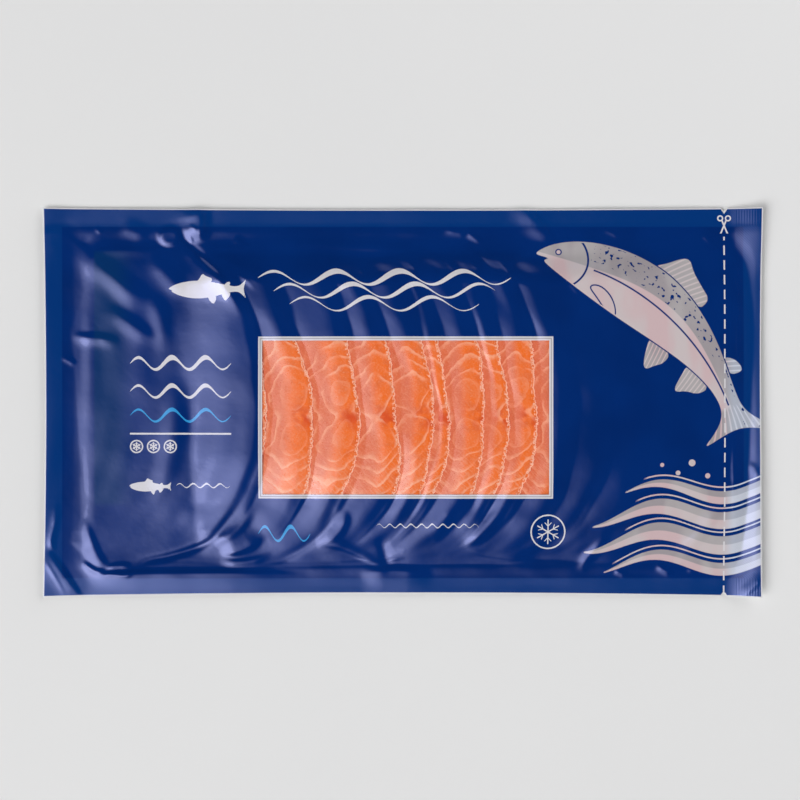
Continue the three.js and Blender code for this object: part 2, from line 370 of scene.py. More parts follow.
def front(x, y):
    """The upper film: the larger of the fan of slices and the flat film round it, with its creases and
    ripples, and never under the lower film. The dips between the slices are fainter under the print."""
    flat = mix(BOARD.thickness + FILM, rim(x, y) + SEAM / 2, away(x, y))
    reached = crest(x, y)
    full = np.clip(2.6 * (reached - BOARD.thickness) / FAN.height - 0.6, 0, 1)
    full *= mix(1, 0.22, smooth(70, 86, x + bow(y)))
    full *= mix(1, 0.55, smooth(28, 48, y) + smooth(-46, -62, y))
    over = reached - full * dip(x, y) - 0.4 * bend(outside(x, y), 2, 1)
    z = blended(over + FILM, flat, 1.5)
    off = np.maximum(np.abs(x - WINDOW.x) - WINDOW.half_x, np.abs(y - WINDOW.y) - WINDOW.half_y)
    printed = smooth(2.7, 10.7, off)
    slack = smooth(62, 80, y) * smooth(90, 86, y) + smooth(-70, -80, y) * smooth(-90, -86, y)
    drape = smooth(-46, -56, y) * smooth(-84, -76, y) * smooth(-120, -100, x) * smooth(110, 80, x)
    calm = mix(0.3, 1, smooth(8, 13, inset(x, y)) * smooth(-166, -156, x))
    z += creased(x, y) * printed
    for height, size, seed, at_x, at_y, share in (
        (0.10, 26, 3, x, y, printed * calm),
        (0.05, 9, 4, x * 0.5, y, slack),  # beside the long seals
        (0.18, 17, 6, x, y, drape),  # under the window
        (0.10, 22, 5, (x + bow(y)) * 1.6, y * 0.35, (1 - slack) * calm),  # along the slices' edges
    ):
        z += height * ripples(at_x, at_y, size, seed) * share
    return blended(z, back(x, y) + 0.12, 0.3)


def back(x, y):
    """The lower film: flat under the board and up to the rim round it."""
    return smooth(0, SLOPE, outside(x, y)) * (rim(x, y) - SEAM / 2)


def outline(u, v):
    """The pouch's edges draw in a little between its corners, and there is a nick in both long ones."""
    bottom = DRAWN_IN.bottom * (1 - (u / HALF.x) ** 2) ** 0.8 * smooth(-70, -HALF.y, v)
    top = DRAWN_IN.top * (1 - (u / HALF.x) ** 2) * smooth(70, HALF.y, v)
    left = DRAWN_IN.left * (1 - (v / HALF.y) ** 2) * smooth(-150, -HALF.x, u)
    right = DRAWN_IN.right * (1 - ((v + 20) / (HALF.y + 20)) ** 2) * smooth(150, HALF.x, u)
    off = np.clip(np.abs(u - NICK.x) / NICK.half, 0, 1)
    wedge = NICK.depth * (1 - off) * smooth(86, HALF.y, v) ** 2
    bite = 0.6 * NICK.depth * np.sqrt(1 - off**2) * smooth(-86, -HALF.y, v) ** 2
    return u + left - right, v + bottom - top - wedge + bite


# ---------------- meshes


def added(name, data):
    """An object in the scene for a mesh, a light or a camera."""
    made = bpy.data.objects.new(name, data)
    bpy.context.scene.collection.objects.link(made)
    return made


def mesh_object(name, points, quads, fields=None):
    """A smooth mesh of four-sided faces from points in millimetres, with a value per point for each
    field. Points that no face uses are left out."""
    used, quads = np.unique(quads, return_inverse=True)
    quads = quads.reshape(-1, 4)
    mesh = bpy.data.meshes.new(name)
    mesh.vertices.add(len(used))
    mesh.vertices.foreach_set("co", (points[used] * MM).astype(np.float32).ravel())
    mesh.loops.add(quads.size)
    mesh.loops.foreach_set("vertex_index", quads.astype(np.int32).ravel())
    mesh.polygons.add(len(quads))
    mesh.polygons.foreach_set("loop_start", np.arange(0, quads.size, 4, dtype=np.int32))
    mesh.polygons.foreach_set("use_smooth", np.ones(len(quads), bool))
    for field, values in (fields or {}).items():
        attribute = mesh.attributes.new(field, "FLOAT", "POINT")
        attribute.data.foreach_set("value", values.ravel()[used].astype(np.float32))
    mesh.update(calc_edges=True)
    mesh.validate()
    return added(name, mesh)


def grid_quads(columns, rows, first=0):
    """The faces of a grid whose points run row by row within each column, seen from above."""
    corner = first + (np.arange(columns - 1)[:, None] * rows + np.arange(rows - 1)).ravel()
    return np.stack([corner, corner + rows, corner + rows + 1, corner + 1], 1)


def loop_of(columns, rows):
    """The border of a grid, once round, against the clock from its first point."""
    index = np.arange(columns * rows).reshape(columns, rows)
    return np.concatenate([index[:-1, 0], index[-1, :-1], index[:0:-1, -1], index[0, :0:-1]])


def wall(top, bottom):
    """The faces between two loops of points, one below the other."""
    return np.stack([top, bottom, np.roll(bottom, -1), np.roll(top, -1)], 1)


def film_front():
    """The printed film: a sheet over a grid of the flat pouch, open at the window, with its cut edge
    turned down to the lower film all round."""
    u = np.linspace(-HALF.x, HALF.x, 461)
    v = np.linspace(-HALF.y, HALF.y, 251)
    for line in (WINDOW.left, WINDOW.right, NICK.x - NICK.half, NICK.x, NICK.x + NICK.half):
        u[np.abs(u - line).argmin()] = line
    for line in (WINDOW.bottom, WINDOW.top):
        v[np.abs(v - line).argmin()] = line
    flat_u, flat_v = np.meshgrid(u, v, indexing="ij")
    x, y = outline(flat_u, flat_v)
    points = np.stack([x, y, front(x, y)], -1).reshape(-1, 3)
    quads = grid_quads(*x.shape)
    off = np.abs(points[quads].mean(1)[:, :2] - [WINDOW.x, WINDOW.y])
    hole = (off < [WINDOW.half_x, WINDOW.half_y]).all(1)
    border = loop_of(*x.shape)
    low = len(points) + np.arange(len(border))
    faces = np.concatenate([quads[~hole], wall(border, low)])
    points = np.concatenate([points, points[border] - [0, 0, SEAM]])
    fields = {
        "inset": np.append(inset(flat_u, flat_v), np.zeros(len(border))),
        "flat_x": np.append(flat_u, flat_u.ravel()[border]),
        **artwork(points[:, 0], points[:, 1]),
    }
    return mesh_object("film_front", points, faces, fields)


def film_window():
    """The clear part of the same sheet, which runs on a little under the printed frame."""
    u = np.linspace(WINDOW.left - UNDERLAP.film, WINDOW.right + UNDERLAP.film, 321)
    v = np.linspace(WINDOW.bottom - UNDERLAP.film, WINDOW.top + UNDERLAP.film, 181)
    x, y = np.meshgrid(u, v, indexing="ij")
    points = np.stack([x, y, front(x, y) - UNDERLAP.below], -1).reshape(-1, 3)
    return mesh_object("film_window", points, grid_quads(*x.shape))


def film_back():
    """The lower film, which the board presses flat."""
    u = np.linspace(-HALF.x, HALF.x, 241)
    v = np.linspace(-HALF.y, HALF.y, 131)
    x, y = outline(*np.meshgrid(u, v, indexing="ij"))
    points = np.stack([x, y, back(x, y)], -1).reshape(-1, 3)
    return mesh_object("film_back", points, grid_quads(*x.shape)[:, ::-1])


# The grain: how far inward its middle is, where its seam is and how far from it the two eyes are, how
# softly two rings join, the least ring, and how far apart the lines are
GRAIN = Sizes(inward=9.5, seam=-7, eyes=(11.5, 10.5), join=1.6, least=4.6, pitch=3.9)


def flakes(inward, y, number):
    """The grain of a slice as a number that grows by one from line to line: rings round two eyes, one
    on each side of a seam across the slice, which join into one outline and then open into chevrons."""
    warp = 1.5 * ripples(inward + 50 * number, y, 17, 21)
    across = inward - GRAIN.inward - 2.0 * np.sin(1.7 * number) + warp
    seam = GRAIN.seam + 2.0 * np.sin(3.1 * number)
    shift = y - seam + 1.6 * ripples(inward, y + 70 * number, 15, 22)
    eyes = (GRAIN.eyes[0] + np.cos(2.3 * number), GRAIN.eyes[1] - np.sin(2.9 * number))
    rings = []
    for side, eye in zip((1, -1), eyes):
        above = side * shift - eye + 0.15 * side * across
        ring = np.hypot(across, 0.86 * above)
        chevron = 0.80 * above + 0.62 * (np.hypot(across + 1.5 * side, 2.5) - 1.5)
        rings.append(mix(ring, chevron, smooth(3, 11, ring) * smooth(-2, 6, above)))
    both = -GRAIN.join * np.log(np.exp(-rings[0] / GRAIN.join) + np.exp(-rings[1] / GRAIN.join))
    both = GRAIN.least + bend(both, GRAIN.least, 0.4)
    return both / (GRAIN.pitch + 0.04 * both) + 0.36 * np.sin(5.3 * number) - 0.35


def rag(y, number):
    """The torn outline of a slice's edge: sine waves of uneven length, in millimetres."""
    k = 1.3 * number
    fine = np.sin(y * 4.1 + 9 * k) * np.sin(y * 1.7 + k) + 0.6 * np.sin(y * 6.3 + 5 * k)
    return 0.24 * fine + 0.22 * np.sin(y * 0.9 + 3 * k) + 0.16 * np.sin(y * 2.2 + 7 * k)


def slice_of(node, edge):
    """One slice: it comes up from the board under its neighbours and ends at its own torn edge. Its
    height is the crest's less one step for each rank back from the edge. It thins towards the edge."""
    number = edge - FIRST_SHOWN + 1
    back_to = max(edge - SLICE.span, 0)
    ranks = np.concatenate([np.linspace(back_to, edge - 1, 12)[:-1], edge - np.linspace(1, 0, 44) ** 2.8])
    rows = np.linspace(WINDOW.bottom - UNDERLAP.slices, WINDOW.top + UNDERLAP.slices, 340)
    rank, y = np.meshgrid(ranks, rows, indexing="ij")
    x = along(rank, y)
    inward = along(np.full_like(rank, edge), y) - x
    top = crest(x, y) - (DRAWN.deep - STEP) + STEP * (rank - edge)
    bottom = np.maximum(top - SLICE.thickness, BOARD.thickness + GAP)
    near = 1 - smooth(0, THIN.over, inward)
    bottom -= THIN.droop * near
    top -= (THIN.by + THIN.droop) * near
    x = x + rag(y, number) * near
    top = np.maximum(top, bottom + 0.05)
    x = np.clip(x, WINDOW.left - UNDERLAP.slices, WINDOW.right + UNDERLAP.slices)
    points = np.concatenate([np.stack([x, y, z], -1).reshape(-1, 3) for z in (top, bottom)])
    count = rank.size
    over = grid_quads(*x.shape)
    under = grid_quads(*x.shape, count)[:, ::-1]
    border = loop_of(*x.shape)
    faces = np.concatenate([over, under, wall(border, border + count)])
    fields = {
        "inward": inward,
        "shown": 1 - np.sqrt(np.clip(edge - rank, 0, 1)),
        "flake": flakes(inward, y, number),
        "number": np.full(count, float(number)),
    }
    fields = {field: np.tile(values.ravel(), 2) for field, values in fields.items()}
    return mesh_object(node + "_fish", points, faces, fields)


# ---------------- printed artwork, as signed distances


def polygon(x, y, corners):
    """Signed distance to a closed outline: the least distance to its sides, and below 0 inside it."""
    nearest = np.full(x.shape, 1e9)
    within = np.zeros(x.shape, bool)
    for (ax, ay), (bx, by) in zip(corners, np.roll(corners, -1, 0)):
        run, climb = bx - ax, by - ay
        share = np.clip(((x - ax) * run + (y - ay) * climb) / (run**2 + climb**2), 0, 1)
        nearest = np.minimum(nearest, np.hypot(x - ax - share * run, y - ay - share * climb))
        crosses = (ay > y) != (by > y)
        within ^= crosses & (x < ax + (y - ay) * run / (climb + 1e-12))
    return np.where(within, -nearest, nearest)


def rounded(corners):
    """The same outline with its corners cut twice, at a quarter of each side."""
    corners = np.array(corners, float)
    for _ in range(2):
        ahead = np.roll(corners, -1, 0)
        corners = np.stack([0.75 * corners + 0.25 * ahead, 0.25 * corners + 0.75 * ahead], 1).reshape(-1, 2)
    return corners


# A salmon's outline for a length of 100, from its nose along +X, with its back towards +Y.
BODY = [
    (-0.5, 0.3), (2, 2.6), (6, 5.0), (12, 7.4), (20, 9.5), (30, 11.0), (40, 11.3), (50, 10.5), (60, 8.8),
    (70, 6.6), (80, 4.4), (87, 3.5), (92, 3.6), (96, 5.5), (100, 9.5), (104, 14), (101, 6), (99.8, 0),
    (101, -6), (104, -14), (100, -9.5), (96, -5.5), (92, -3.6), (87, -3.6), (80, -4.8), (70, -7.4),
    (60, -9.8), (50, -11.4), (40, -12.1), (30, -11.5), (20, -9.6), (12, -7.0), (6, -4.0), (2.4, -1.5),
    (5.5, -0.6), (2, -0.2),
]
FINS = [
    [(38, 10.5), (41, 13.5), (44.5, 19.5), (46.5, 20.2), (49, 17.6), (54, 15.5), (58.5, 14.2), (58, 8)],
    [(75, 5), (77.5, 8.5), (81, 9.6), (82.5, 8.6), (81.5, 4)],
    [(52, -10), (55, -15), (58.5, -19), (61, -19.4), (62, -16.5), (64, -13.5), (63, -9)],
    [(70, -6.5), (72.5, -11), (75, -15.2), (77, -15.6), (78.5, -12.5), (82.5, -9), (82, -4)],
]
PECTORAL = [(21, -6.5), (26, -9.2), (33, -12.8), (36, -13.2), (35.5, -10.5), (31, -6.5), (25, -4.6)]
LEAP = Sizes(centre=(51, -46), radius=121, nose=82.5, length=141)  # the large fish, bent to a circle
SMALL_FISH = [((-117, 56.5), 38), ((-137, -42), 21)]  # nose and length


def fish_print(along_it, over, length):
    """Distances to a fish's body and to its fins, from its own coordinates."""
    scale = length / 100
    body = scale * polygon(along_it, over, rounded(BODY))
    fins = scale * np.minimum.reduce([polygon(along_it, over, rounded(fin)) for fin in FINS])
    return body, fins


def straight(x, y, nose, length):
    """The coordinates of a fish that swims level towards -X."""
    return (x - nose[0]) * 100 / length, (y - nose[1]) * 100 / length


def leaping(x, y):
    """The coordinates of a fish whose middle line is an arc of a circle: distance round it from the
    nose, and distance outside it."""
    dx, dy = x - LEAP.centre[0], y - LEAP.centre[1]
    round_it = np.radians(LEAP.nose) - np.arctan2(dy, dx)
    return round_it * LEAP.radius * 100 / LEAP.length, (np.hypot(dx, dy) - LEAP.radius) * 100 / LEAP.length


# Ribbons of water: height, half width at the right end, where it starts at the left
RIBBONS = [(-45, 3.2, 108), (-56.5, 4.2, 92), (-69, 4.6, 88), (-81, 3.2, 98)]
TRIM = 2.05  # how far above a ribbon a fine line runs


def artwork(x, y):
    """Values per point for the printed shapes, in millimetres: the distances outside the large fish's
    body and fins, outside the nearest ribbon of water and outside the small fish, and the heights above
    that ribbon's middle and above the nearest fine line. A ribbon is a sine wave that tapers to nothing
    at the left."""
    along_it, over = leaping(x, y)
    body, fins = fish_print(along_it, over, LEAP.length)
    pectoral = LEAP.length / 100 * polygon(along_it, over, rounded(PECTORAL))
    water, trim, mark = (np.full(x.shape, 99.0) for _ in range(3))
    water_side = np.zeros(x.shape)
    for height, width, start in RIBBONS:
        middle = height + 4.5 * np.sin((x - 40) / 11) + 0.05 * (x - 120)
        half = width * np.sin(np.pi / 2 * np.clip((x - start) / 50, 0, 1))
        band = (np.abs(y - middle) - half) * 0.93 + 3 * smooth(start + 3, start - 1, x)
        above = y - middle - half - TRIM
        trim = np.where(np.abs(above) < np.abs(trim), above, trim)
        closer = band < water
        water = np.where(closer, band, water)
        water_side = np.where(closer, y - middle, water_side)
    for nose, length in SMALL_FISH:
        mark = np.minimum.reduce([mark, *fish_print(*straight(x, y, nose, length), length)])
    return dict(
        body=body, fins=fins, pectoral=pectoral, fish_along=along_it, fish_over=over,
        water=water, water_side=water_side, trim=trim, mark=mark,
    )


# ---------------- finishes


class Value:
    """A socket that can be used in arithmetic: each operation adds a Math node."""

    def __init__(self, finish, socket):
        self.finish = finish
        self.socket = socket

    def math(self, operation, *others, clamp=False):
        inputs = dict(enumerate((self, *others)))
        return self.finish.value("Math", 0, inputs, operation=operation, use_clamp=clamp)

    def __rsub__(self, other):
        return (self * -1) + other

    __add__ = __radd__ = partialmethod(math, "ADD")
    __sub__ = partialmethod(math, "SUBTRACT")
    __mul__ = __rmul__ = partialmethod(math, "MULTIPLY")
    __truediv__ = partialmethod(math, "DIVIDE")
    __pow__ = partialmethod(math, "POWER")
    __abs__ = partialmethod(math, "ABSOLUTE")
    least = partialmethod(math, "MINIMUM")
    most = partialmethod(math, "MAXIMUM")
    sine = partialmethod(math, "SINE")
    root = partialmethod(math, "SQRT")

    def over(self, edge, soft=0.12):
        """0 below an edge and 1 above it, with a soft step."""
        return self.math("MULTIPLY_ADD", 1 / soft, 0.5 - edge / soft, clamp=True)

    def under(self, edge, soft=0.12):
        """1 below an edge and 0 above it, with a soft step."""
        return self.math("MULTIPLY_ADD", -1 / soft, 0.5 + edge / soft, clamp=True)

    def within(self, low, high, soft=0.12):
        return self.over(low, soft) * self.under(high, soft)

    def ramp(self, low, high):
        """A smooth ramp from 0 at low to 1 at high."""
        inputs = {"Value": self, "From Min": low, "From Max": high}
        return self.finish.value("MapRange", 0, inputs, interpolation_type="SMOOTHSTEP")

    def waves(self, pitch):
        """A sine wave that repeats at a pitch."""
        return (self * (2 * np.pi / pitch)).sine()


class Finish:
    """The nodes of a material, or of the world, under construction."""

    def __init__(self, name, kind="materials"):
        self.owner = getattr(bpy.data, kind).new(name)
        self.owner.use_nodes = True
        self.tree = self.owner.node_tree
        self.tree.nodes.clear()

    def node(self, kind, inputs=None, **settings):
        """Adds a node, sets it, and then fills its sockets with values or links."""
        made = self.tree.nodes.new("ShaderNode" + kind)
        for name, value in settings.items():
            if name == "stops":
                stops = made.color_ramp.elements
                for i, (at, bright) in enumerate(value):
                    stop = stops[i] if i < 2 else stops.new(at)
                    stop.position = at
                    stop.color = (bright, bright, bright, 1)
            else:
                setattr(made, name, value)
        for name, value in (inputs or {}).items():
            socket = made.inputs[name]
            source = value.socket if isinstance(value, Value) else value
            if isinstance(source, bpy.types.NodeSocket):
                self.tree.links.new(source, socket)
            elif socket.type == "RGBA":
                socket.default_value = (*source, 1)
            else:
                socket.default_value = source
        return made

    def value(self, kind, output, inputs=None, **settings):
        return Value(self, self.node(kind, inputs, **settings).outputs[output])

    def place(self):
        """The object's own X, Y and Z in millimetres."""
        where = self.node("TexCoord").outputs["Object"]
        split = self.node("SeparateXYZ", {"Vector": where})
        return [Value(self, split.outputs[i]) * (1 / MM) for i in range(3)]

    def fields(self, *names):
        """Values that the mesh holds for each point."""
        return [self.value("Attribute", "Fac", attribute_name=name) for name in names]

    def point(self, x, y, z=0.0):
        return self.node("CombineXYZ", {"X": x, "Y": y, "Z": z}).outputs[0]

    def noise(self, vector, scale, detail=3.0, roughness=0.5):
        inputs = {"Vector": vector, "Scale": scale, "Detail": detail, "Roughness": roughness}
        return self.value("TexNoise", "Fac", inputs)

    def mix(self, share, a, b):
        """A colour between two others."""
        return self.node("Mix", {0: share, 6: a, 7: b}, data_type="RGBA").outputs[2]

    def layered(self, colour, *layers):
        """A colour with others laid over it in turn, each by its own share."""
        for share, over in layers:
            colour = self.mix(share, colour, over)
        return colour

    def bump(self, height, distance, strength, **under):
        inputs = {"Height": height, "Distance": distance, "Strength": strength, **under}
        return self.node("Bump", inputs).outputs[0]

    def surface(self, shader):
        self.node("OutputMaterial", {"Surface": shader.outputs[0]})
        return self.owner

    def principled(self, inputs):
        return self.surface(self.node("BsdfPrincipled", inputs))


INK = Sizes(
    blue=(0.0006, 0.0265, 0.175),
    sealed=(0.0012, 0.0385, 0.205),
    deep=(0.0005, 0.0225, 0.152),
    over_board=(0.0022, 0.0345, 0.146),
    white=(0.74, 0.72, 0.75),
    grey=(0.42, 0.40, 0.43),
    sky=(0.03, 0.33, 0.72),
    silver=(0.38, 0.345, 0.365),
    bright_silver=(0.46, 0.43, 0.44),
    pink=(0.66, 0.49, 0.51),
    pale=(0.64, 0.56, 0.57),
    cool_silver=(0.46, 0.49, 0.58),
    cool_white=(0.64, 0.67, 0.76),
    edge=(0.82, 0.82, 0.84),
    shine=(0.54, 0.58, 1.0),
)

LINES = Sizes(left=-136.3, right=-85.3, rule=-15.6)  # the block of waves at the left
# Waves: start and end, middle, swing, pitch, and how thick and thin the pen draws
WHITE_WAVES = [
    (LINES.left, LINES.right, 19.5, 3.0, 17.0, 1.5, 0.6),
    (LINES.left, LINES.right, 5.5, 3.0, 17.0, 1.3, 0.55),
    (-72, 54, 62.0, 3.4, 31.5, 1.7, 0.35),
    (-64.1, 46, 55.5, 3.4, 31.5, 1.4, 0.30),
    (-56.2, 38, 49.0, 3.4, 31.5, 1.1, 0.25),
    (-13, 38, -61.5, 0.9, 5.3, 0.4, 0.25),
    (-113, -86, -41.5, 1.0, 6.8, 0.5, 0.25),
]
SKY_WAVES = [
    (LINES.left, LINES.right, -6.5, 3.0, 17.0, 1.1, 0.5),
    (-72, -46, -65.5, 3.6, 13.0, 1.2, 0.5),
]
# Centres and radii
SNOWFLAKES = [(-133, -22, 3.0), (-124.5, -22, 3.0), (-116, -22, 3.0), (72.5, -64.5, 8.4)]
DROPS = [(144, -30, 1.7), (137, -35, 1.2), (152, -36.5, 1.3), (129, -31, 1.0)]
# The cut line's dashes, and the scissors in their gap: where the blades run and cross, and the handles
CUT = Sizes(pitch=7.4, dash=4.75, gap=(83, 96), blades=(84.6, 91.4), cross=88.6, slant=0.42)
HANDLES = Sizes(y=92.2, aside=1.95, radius=1.2)


def most_of(masks):
    return reduce(Value.most, masks)


def distance(x, y, centre_x, centre_y):
    return ((x - centre_x) ** 2 + (y - centre_y) ** 2).root()


def wave(x, y, start, end, middle, swing, pitch, thick, thin):
    """A wave drawn with a broad pen: it is thick where it falls and thin where it rises."""
    turn = (x - start) * (2 * np.pi / pitch)
    half = (turn + 0.9).sine() * ((thick - thin) / 2) + (thick + thin) / 2
    ends = ((x - start) * (end - x)).most(0).root() * (2 / (end - start))
    off = abs(y - middle - turn.sine() * swing) - half * ends.least(1)
    return off.under(0, 0.2) * x.within(start, end)


def snowflake(x, y, centre_x, centre_y, radius):
    """A ring with six spokes: three lines through its centre, each with a short branch."""
    dx, dy = x - centre_x, y - centre_y
    far = distance(x, y, centre_x, centre_y)
    spokes = []
    for angle in np.radians((90, 30, -30)):
        line = abs(dx * np.sin(angle) - dy * np.cos(angle))
        out = abs(dx * np.cos(angle) + dy * np.sin(angle))
        branch = abs(line - (out - radius * 0.34) * 0.9).under(0.28)
        branch = branch * out.within(radius * 0.34, radius * 0.56)
        spokes.append(line.under(0.3).most(branch))
    return (most_of(spokes) * far.under(radius * 0.74)).most(abs(far - radius).under(0.35))


def cut_line(x, y):
    """A dashed line across the pouch with a small pair of scissors at its top."""
    phase = ((y + 200) / CUT.pitch).math("FRACT")
    dashes = abs(x - NICK.x).under(0.38) * phase.under(CUT.dash / CUT.pitch, 0.02)
    marks = [dashes * (1 - y.within(*CUT.gap))]
    for side in (-1, 1):
        ring = distance(x, y, NICK.x + side * HANDLES.aside, HANDLES.y)
        blade = abs((x - NICK.x) + (y - CUT.cross) * (side * CUT.slant)).under(0.42)
        marks += [abs(ring - HANDLES.radius).under(0.35), blade * y.within(*CUT.blades)]
    return most_of(marks)


def silver_print(f, x, y):
    """Layers for the large fish, the ribbons of water and the drops. They are silver, pink in its lighter
    tone, with a painted sheen of cloudy noise, and turn cool past the cut line. The fish's dark back and its
    rays are sine waves."""
    body, fins, pectoral, along_it, over_it = f.fields("body", "fins", "pectoral", "fish_along", "fish_over")
    water, water_side, trim = f.fields("water", "water_side", "trim")
    beyond = x.ramp(NICK.x - 2, NICK.x + 5)
    # Painted sheen: cloudy noise moves each tone between two inks, in place of the silver ink's metallic
    # shine.
    sheen = f.noise(f.point(x, y * 0.4), 0.06, 2.0).ramp(0.4, 0.6)
    light = f.mix(beyond, f.mix(sheen, INK.pink, INK.pale), INK.cool_white)
    dark = f.mix(beyond, f.mix(sheen, INK.silver, INK.bright_silver), INK.cool_silver)

    rays = ((along_it - abs(over_it) * 0.45) * 3.6).sine().over(-0.55, 0.5)
    tail_rays = ((over_it * 3.75) / ((along_it - 80) * 0.06).most(0.5)).sine().over(-0.5, 0.5)
    back_side = (over_it - 1.2 + (along_it * 0.09).sine() * 1.2).over(0, 0.3)
    flank = f.mix(back_side, light, dark)
    flank = f.mix(along_it.over(92, 1.5), flank, f.mix(tail_rays, light, dark))
    eye = distance(along_it, over_it, 7.6, 2.3)
    spots = f.noise(f.point(along_it, over_it), 0.62, 1.0).over(0.63, 0.05)
    lines = most_of([
        abs(distance(along_it, over_it, 8, -0.5) - 10.5).under(0.35, 0.25) * along_it.over(12),
        abs(pectoral).under(0.35, 0.25),
        abs(over_it + 0.6).under(0.3, 0.25) * along_it.within(21, 91),
        spots * over_it.over(2.5) * along_it.over(19),
        eye.under(1.15, 0.2),
    ])
    trim = abs(trim).under(0.38) * (x - (y + 60) * 0.35).over(113, 2.0)
    return [
        (fins.under(0, 0.3) * body.over(0.6, 0.2), f.mix(rays, light, dark)),
        (body.under(0, 0.3), flank),
        (lines * body.under(-0.6), INK.blue),
        (abs(eye - 0.35).under(0.35, 0.2), light),
        (water.under(1.4, 0.2), INK.blue),
        (water.under(0, 0.3), f.mix(water_side.over(0.3, 0.4), light, dark)),
        (trim * water.over(1.2) * body.least(fins).over(0.8), light),
        *((distance(x, y, *centre).under(size, 0.2), light) for *centre, size in DROPS),
    ]


def plain_print(f, x, y):
    """Layers for the white and light blue print, the frame round the window with its grey line, and the
    film's cut edge."""
    mark, flat_x, inset_at = f.fields("mark", "flat_x", "inset")
    white = [mark.under(0, 0.2), cut_line(flat_x, y)]
    white += [abs(y - LINES.rule).under(0.45) * x.within(LINES.left, LINES.right)]
    white += [wave(x, y, *sizes) for sizes in WHITE_WAVES]
    white += [snowflake(x, y, *sizes) for sizes in SNOWFLAKES]
    off = (abs(x - WINDOW.x) - WINDOW.half_x).most(abs(y - WINDOW.y) - WINDOW.half_y)
    return [
        (most_of(white), INK.white),
        (most_of(wave(x, y, *sizes) for sizes in SKY_WAVES), INK.sky),
        (off.under(2.0, 0.1), INK.white),
        (off.within(0.75, 1.3, 0.15), INK.grey),
        (inset_at.under(0.55, 0.15), INK.edge),
    ]


def printed_film():
    """Blue film with its print, a little lighter over the bare board and where it is sealed. A grid is
    pressed into the long sealed bands, a slanted hatch into the right one and ribs where they cross."""
    f = Finish("printed_film")
    x, y, _ = f.place()
    from_end = (x + HALF.x).least(HALF.x - x)
    from_side = (y + HALF.y).least(HALF.y - y)
    long_bands = from_side.under(SEAL.width, SEAL.soft)
    right_band = x.over(HALF.x - SEAL.right, SEAL.soft)

    cloud = f.noise(f.point(x, y), 0.03, 2.0)
    bare = x.ramp(-155, -153.5) * x.ramp(-132, -146) * y.ramp(-53, -49) * y.ramp(77, 74)
    colour = f.layered(
        f.mix(cloud.ramp(0.35, 0.7), INK.blue, INK.deep),
        (bare * 0.9, INK.over_board),
        (long_bands.most(from_end.under(SEAL.width, SEAL.soft)), INK.sealed),
        *silver_print(f, x, y),
        *plain_print(f, x, y),
    )

    pattern = x.waves(SEAL.grid) * y.waves(SEAL.grid) * long_bands * (1 - right_band)
    pattern += x.waves(SEAL.ribs) * right_band * long_bands
    pattern += (x + y).waves(SEAL.hatch) * right_band * (1 - long_bands) * 0.8
    pattern += f.noise(f.point(x * 1.6, y * 0.03), 1.0, 2.0) * from_end.under(10, 1.0) * 0.6
    fine = f.noise(f.point(x, y), 0.22, 3.0)
    return f.principled({
        "Base Color": colour,
        "Roughness": 0.075 + 0.04 * fine + 0.02 * long_bands,
        "IOR": 1.92,
        "Specular Tint": INK.shine,
        "Normal": f.bump(fine, 0.0004, 0.10, Normal=f.bump(pattern, 0.00005, 0.4)),
    })


SQUARE_ON = 0.062  # the share of light that the clear film reflects where it is faced squarely


def clear_film():
    """Clear film: what is under it shows through. It reflects as gloss by Schlick's formula: little
    when it is faced squarely, and more the more it slants."""
    f = Finish("clear_film")
    x, y, _ = f.place()
    normal = f.bump(f.noise(f.point(x, y), 0.25, 2.0), 0.0002, 0.3)
    through = f.node("BsdfTransparent", {"Color": (1, 1, 1)}).outputs[0]
    gloss = f.node("BsdfGlossy", {"Color": (1, 1, 1), "Roughness": 0.07, "Normal": normal}).outputs[0]
    slant = f.value("LayerWeight", "Facing", {"Blend": 0.5, "Normal": normal})
    share = SQUARE_ON + (1 - SQUARE_ON) * slant**5
    return f.surface(f.node("MixShader", {0: share, 1: through, 2: gloss}))


# The flesh's colours. The one where a slice is tucked under its neighbour is painted shade, the pale edge's
# is partly painted highlight, and the glow is a painted glow.
FLESH = Sizes(
    bright=(1.0, 0.176, 0.008),
    tucked=(0.81, 0.150, 0.058),
    shade=(0.76, 0.112, 0.024),
    broad=(0.93, 0.215, 0.070),
    halo=(0.98, 0.28, 0.12),
    fibres=(0.96, 0.42, 0.26),
    fine=(0.96, 0.38, 0.22),
    grain=(0.97, 0.42, 0.27),
    spot=(0.78, 0.070, 0.006),
    fat=(1.0, 0.52, 0.33),
    torn=(1.0, 0.56, 0.40),
    glow=(0.15, 0.06, 0.05),
)


